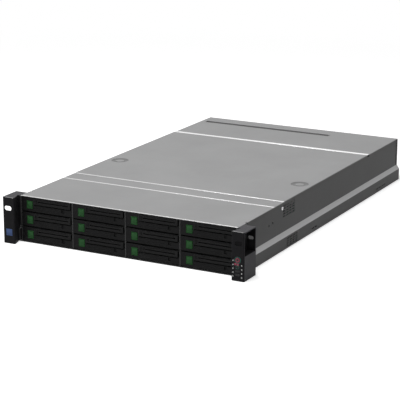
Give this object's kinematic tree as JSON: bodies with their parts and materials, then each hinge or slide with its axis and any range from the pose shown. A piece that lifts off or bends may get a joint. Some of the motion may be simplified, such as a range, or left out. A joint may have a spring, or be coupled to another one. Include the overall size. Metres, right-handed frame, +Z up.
{
  "type": "2u rack server",
  "caption": "Two-unit rack server with a stepped steel case, sectioned cover, hot-swap drive carriers with levers, rack ears and rear power supplies.",
  "frame": {"origin": "middle of the case's underside, in the plane of the rack ears' rear faces", "axes": "+Y to the back, along the case's depth; +Z up; +X to the right as seen from the front"},
  "size_m": [0.4826, 0.7836, 0.0861],
  "materials": {
    "case_steel": "zinc-coated steel sheet, fine grain, satin",
    "cover_steel": "zinc-coated steel sheet, satin",
    "cage_steel": "thin steel sheet",
    "bezel_black": "moulded black plastic, fine texture",
    "lever_black": "moulded black plastic, satin",
    "touch_green": "moulded green plastic",
    "ear_black": "moulded dark plastic, fine texture",
    "key_black": "gloss button",
    "board_green": "circuit board with solder mask",
    "fan_black": "glass-filled black plastic",
    "fin_aluminium": "extruded aluminium, satin",
    "supply_steel": "zinc-coated steel",
    "latch_green": "moulded plastic",
    "screw_zinc": "bright zinc"
  },
  "bodies": {
    "case": {"chassis_tray": "case_steel", "front_cover": "cover_steel", "rear_cover": "cover_steel", "drive_cage": "cage_steel", "drive_backplane": "board_green", "fan_frames": "fan_black", "motherboard": "board_green", "heatsinks": "fin_aluminium", "memory_modules": "board_green", "slot_covers": "cage_steel", "screws": "screw_zinc", "left_ear": "ear_black", "right_ear": "ear_black"},
    "lid": {"main_cover": "cover_steel"},
    "power_key": {"power_button": "key_black"},
    "id_key": {"id_button": "key_black"},
    "rotor_1": {"fan_rotor_1": "fan_black"},
    "rotor_2": {"fan_rotor_2": "fan_black"},
    "rotor_3": {"fan_rotor_3": "fan_black"},
    "rotor_4": {"fan_rotor_4": "fan_black"},
    "supply_1": {"psu_1": "supply_steel"},
    "supply_latch_1": {"psu_latch_1": "latch_green"},
    "supply_2": {"psu_2": "supply_steel"},
    "supply_latch_2": {"psu_latch_2": "latch_green"},
    "drive_01": {"carrier_01": "bezel_black"},
    "lever_01": {"eject_lever_01": "lever_black"},
    "release_01": {"release_button_01": "touch_green"},
    "drive_02": {"carrier_02": "bezel_black"},
    "lever_02": {"eject_lever_02": "lever_black"},
    "release_02": {"release_button_02": "touch_green"},
    "drive_03": {"carrier_03": "bezel_black"},
    "lever_03": {"eject_lever_03": "lever_black"},
    "release_03": {"release_button_03": "touch_green"},
    "drive_04": {"carrier_04": "bezel_black"},
    "lever_04": {"eject_lever_04": "lever_black"},
    "release_04": {"release_button_04": "touch_green"},
    "drive_05": {"carrier_05": "bezel_black"},
    "lever_05": {"eject_lever_05": "lever_black"},
    "release_05": {"release_button_05": "touch_green"},
    "drive_06": {"carrier_06": "bezel_black"},
    "lever_06": {"eject_lever_06": "lever_black"},
    "release_06": {"release_button_06": "touch_green"},
    "drive_07": {"carrier_07": "bezel_black"},
    "lever_07": {"eject_lever_07": "lever_black"},
    "release_07": {"release_button_07": "touch_green"},
    "drive_08": {"carrier_08": "bezel_black"},
    "lever_08": {"eject_lever_08": "lever_black"},
    "release_08": {"release_button_08": "touch_green"},
    "drive_09": {"carrier_09": "bezel_black"},
    "lever_09": {"eject_lever_09": "lever_black"},
    "release_09": {"release_button_09": "touch_green"},
    "drive_10": {"carrier_10": "bezel_black"},
    "lever_10": {"eject_lever_10": "lever_black"},
    "release_10": {"release_button_10": "touch_green"},
    "drive_11": {"carrier_11": "bezel_black"},
    "lever_11": {"eject_lever_11": "lever_black"},
    "release_11": {"release_button_11": "touch_green"},
    "drive_12": {"carrier_12": "bezel_black"},
    "lever_12": {"eject_lever_12": "lever_black"},
    "release_12": {"release_button_12": "touch_green"}
  },
  "joints": [
    {"name": "cover_lift", "type": "slide", "parent": "case", "child": "lid", "axis": [0, 0, 1], "range_m": [0, 0.06]},
    {"name": "power_press", "type": "slide", "parent": "case", "child": "power_key", "axis": [0, 1, 0], "range_m": [0, 0.0015], "stiffness_N_per_m": 400},
    {"name": "id_press", "type": "slide", "parent": "case", "child": "id_key", "axis": [0, 1, 0], "range_m": [0, 0.0015], "stiffness_N_per_m": 300},
    {"name": "fan_spin_1", "type": "hinge", "parent": "case", "child": "rotor_1", "pos_m": [-0.156, 0.195, 0.0416], "axis": [0, 1, 0], "continuous": true},
    {"name": "fan_spin_2", "type": "hinge", "parent": "case", "child": "rotor_2", "pos_m": [-0.052, 0.195, 0.0416], "axis": [0, 1, 0], "continuous": true},
    {"name": "fan_spin_3", "type": "hinge", "parent": "case", "child": "rotor_3", "pos_m": [0.052, 0.195, 0.0416], "axis": [0, 1, 0], "continuous": true},
    {"name": "fan_spin_4", "type": "hinge", "parent": "case", "child": "rotor_4", "pos_m": [0.156, 0.195, 0.0416], "axis": [0, 1, 0], "continuous": true},
    {"name": "psu_slide_1", "type": "slide", "parent": "case", "child": "supply_1", "axis": [0, 1, 0], "range_m": [0, 0.19]},
    {"name": "psu_latch_press_1", "type": "slide", "parent": "supply_1", "child": "supply_latch_1", "axis": [-1, 0, 0], "range_m": [0, 0.0025], "stiffness_N_per_m": 600},
    {"name": "psu_slide_2", "type": "slide", "parent": "case", "child": "supply_2", "axis": [0, 1, 0], "range_m": [0, 0.19]},
    {"name": "psu_latch_press_2", "type": "slide", "parent": "supply_2", "child": "supply_latch_2", "axis": [-1, 0, 0], "range_m": [0, 0.0025], "stiffness_N_per_m": 600},
    {"name": "drive_slide_01", "type": "slide", "parent": "case", "child": "drive_01", "axis": [0, -1, 0], "range_m": [0, 0.165]},
    {"name": "lever_swing_01", "type": "hinge", "parent": "drive_01", "child": "lever_01", "pos_m": [-0.1152, -0.0195, 0.07053], "axis": [0, 0, 1], "range_deg": [0, 50]},
    {"name": "release_press_01", "type": "slide", "parent": "drive_01", "child": "release_01", "axis": [0, 1, 0], "range_m": [0, 0.0015], "stiffness_N_per_m": 400},
    {"name": "drive_slide_02", "type": "slide", "parent": "case", "child": "drive_02", "axis": [0, -1, 0], "range_m": [0, 0.165]},
    {"name": "lever_swing_02", "type": "hinge", "parent": "drive_02", "child": "lever_02", "pos_m": [-0.0072, -0.0195, 0.07053], "axis": [0, 0, 1], "range_deg": [0, 50]},
    {"name": "release_press_02", "type": "slide", "parent": "drive_02", "child": "release_02", "axis": [0, 1, 0], "range_m": [0, 0.0015], "stiffness_N_per_m": 400},
    {"name": "drive_slide_03", "type": "slide", "parent": "case", "child": "drive_03", "axis": [0, -1, 0], "range_m": [0, 0.165]},
    {"name": "lever_swing_03", "type": "hinge", "parent": "drive_03", "child": "lever_03", "pos_m": [0.1008, -0.0195, 0.07053], "axis": [0, 0, 1], "range_deg": [0, 50]},
    {"name": "release_press_03", "type": "slide", "parent": "drive_03", "child": "release_03", "axis": [0, 1, 0], "range_m": [0, 0.0015], "stiffness_N_per_m": 400},
    {"name": "drive_slide_04", "type": "slide", "parent": "case", "child": "drive_04", "axis": [0, -1, 0], "range_m": [0, 0.165]},
    {"name": "lever_swing_04", "type": "hinge", "parent": "drive_04", "child": "lever_04", "pos_m": [0.2088, -0.0195, 0.07053], "axis": [0, 0, 1], "range_deg": [0, 50]},
    {"name": "release_press_04", "type": "slide", "parent": "drive_04", "child": "release_04", "axis": [0, 1, 0], "range_m": [0, 0.0015], "stiffness_N_per_m": 400},
    {"name": "drive_slide_05", "type": "slide", "parent": "case", "child": "drive_05", "axis": [0, -1, 0], "range_m": [0, 0.165]},
    {"name": "lever_swing_05", "type": "hinge", "parent": "drive_05", "child": "lever_05", "pos_m": [-0.1152, -0.0195, 0.0428], "axis": [0, 0, 1], "range_deg": [0, 50]},
    {"name": "release_press_05", "type": "slide", "parent": "drive_05", "child": "release_05", "axis": [0, 1, 0], "range_m": [0, 0.0015], "stiffness_N_per_m": 400},
    {"name": "drive_slide_06", "type": "slide", "parent": "case", "child": "drive_06", "axis": [0, -1, 0], "range_m": [0, 0.165]},
    {"name": "lever_swing_06", "type": "hinge", "parent": "drive_06", "child": "lever_06", "pos_m": [-0.0072, -0.0195, 0.0428], "axis": [0, 0, 1], "range_deg": [0, 50]},
    {"name": "release_press_06", "type": "slide", "parent": "drive_06", "child": "release_06", "axis": [0, 1, 0], "range_m": [0, 0.0015], "stiffness_N_per_m": 400},
    {"name": "drive_slide_07", "type": "slide", "parent": "case", "child": "drive_07", "axis": [0, -1, 0], "range_m": [0, 0.165]},
    {"name": "lever_swing_07", "type": "hinge", "parent": "drive_07", "child": "lever_07", "pos_m": [0.1008, -0.0195, 0.0428], "axis": [0, 0, 1], "range_deg": [0, 50]},
    {"name": "release_press_07", "type": "slide", "parent": "drive_07", "child": "release_07", "axis": [0, 1, 0], "range_m": [0, 0.0015], "stiffness_N_per_m": 400},
    {"name": "drive_slide_08", "type": "slide", "parent": "case", "child": "drive_08", "axis": [0, -1, 0], "range_m": [0, 0.165]},
    {"name": "lever_swing_08", "type": "hinge", "parent": "drive_08", "child": "lever_08", "pos_m": [0.2088, -0.0195, 0.0428], "axis": [0, 0, 1], "range_deg": [0, 50]},
    {"name": "release_press_08", "type": "slide", "parent": "drive_08", "child": "release_08", "axis": [0, 1, 0], "range_m": [0, 0.0015], "stiffness_N_per_m": 400},
    {"name": "drive_slide_09", "type": "slide", "parent": "case", "child": "drive_09", "axis": [0, -1, 0], "range_m": [0, 0.165]},
    {"name": "lever_swing_09", "type": "hinge", "parent": "drive_09", "child": "lever_09", "pos_m": [-0.1152, -0.0195, 0.01507], "axis": [0, 0, 1], "range_deg": [0, 50]},
    {"name": "release_press_09", "type": "slide", "parent": "drive_09", "child": "release_09", "axis": [0, 1, 0], "range_m": [0, 0.0015], "stiffness_N_per_m": 400},
    {"name": "drive_slide_10", "type": "slide", "parent": "case", "child": "drive_10", "axis": [0, -1, 0], "range_m": [0, 0.165]},
    {"name": "lever_swing_10", "type": "hinge", "parent": "drive_10", "child": "lever_10", "pos_m": [-0.0072, -0.0195, 0.01507], "axis": [0, 0, 1], "range_deg": [0, 50]},
    {"name": "release_press_10", "type": "slide", "parent": "drive_10", "child": "release_10", "axis": [0, 1, 0], "range_m": [0, 0.0015], "stiffness_N_per_m": 400},
    {"name": "drive_slide_11", "type": "slide", "parent": "case", "child": "drive_11", "axis": [0, -1, 0], "range_m": [0, 0.165]},
    {"name": "lever_swing_11", "type": "hinge", "parent": "drive_11", "child": "lever_11", "pos_m": [0.1008, -0.0195, 0.01507], "axis": [0, 0, 1], "range_deg": [0, 50]},
    {"name": "release_press_11", "type": "slide", "parent": "drive_11", "child": "release_11", "axis": [0, 1, 0], "range_m": [0, 0.0015], "stiffness_N_per_m": 400},
    {"name": "drive_slide_12", "type": "slide", "parent": "case", "child": "drive_12", "axis": [0, -1, 0], "range_m": [0, 0.165]},
    {"name": "lever_swing_12", "type": "hinge", "parent": "drive_12", "child": "lever_12", "pos_m": [0.2088, -0.0195, 0.01507], "axis": [0, 0, 1], "range_deg": [0, 50]},
    {"name": "release_press_12", "type": "slide", "parent": "drive_12", "child": "release_12", "axis": [0, 1, 0], "range_m": [0, 0.0015], "stiffness_N_per_m": 400}
  ]
}
